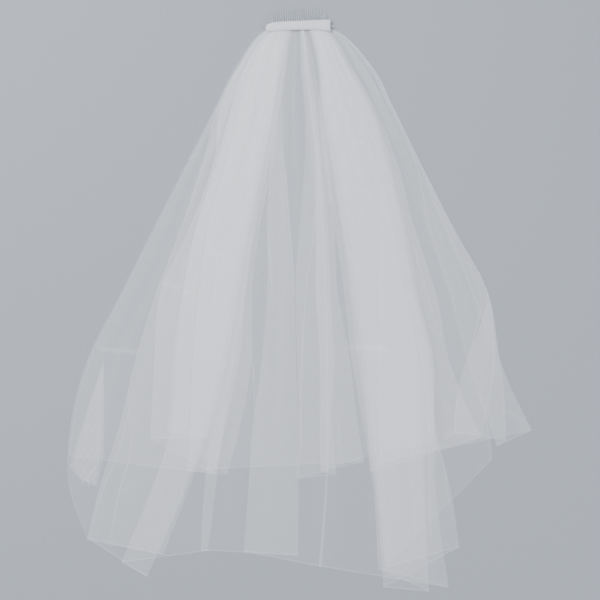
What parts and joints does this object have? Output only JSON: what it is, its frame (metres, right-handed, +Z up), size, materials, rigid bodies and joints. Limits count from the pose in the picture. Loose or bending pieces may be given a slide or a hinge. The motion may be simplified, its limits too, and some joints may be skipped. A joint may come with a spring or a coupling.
{
  "type": "bridal veil",
  "caption": "Two-tier cut-edge tulle bridal veil on a hair comb with a satin band, laid flat in loose pleats.",
  "frame": {"origin": "middle of the laid veil's outline, on the surface that it lies on", "axes": "+Y from the hems to the comb, +X to the right seen from above, +Z up off the surface"},
  "size_m": [0.6946, 0.8786, 0.0153],
  "materials": {
    "tulle": "sheer net",
    "satin_ribbon": "satin",
    "clear_plastic": "clear moulded",
    "thread": "spun"
  },
  "bodies": {
    "root": {"comb": "clear_plastic", "ribbon_band": "satin_ribbon", "upper_tier": "tulle", "lower_tier": "tulle", "turned_corner": "tulle", "thread_tail": "thread"}
  },
  "joints": []
}
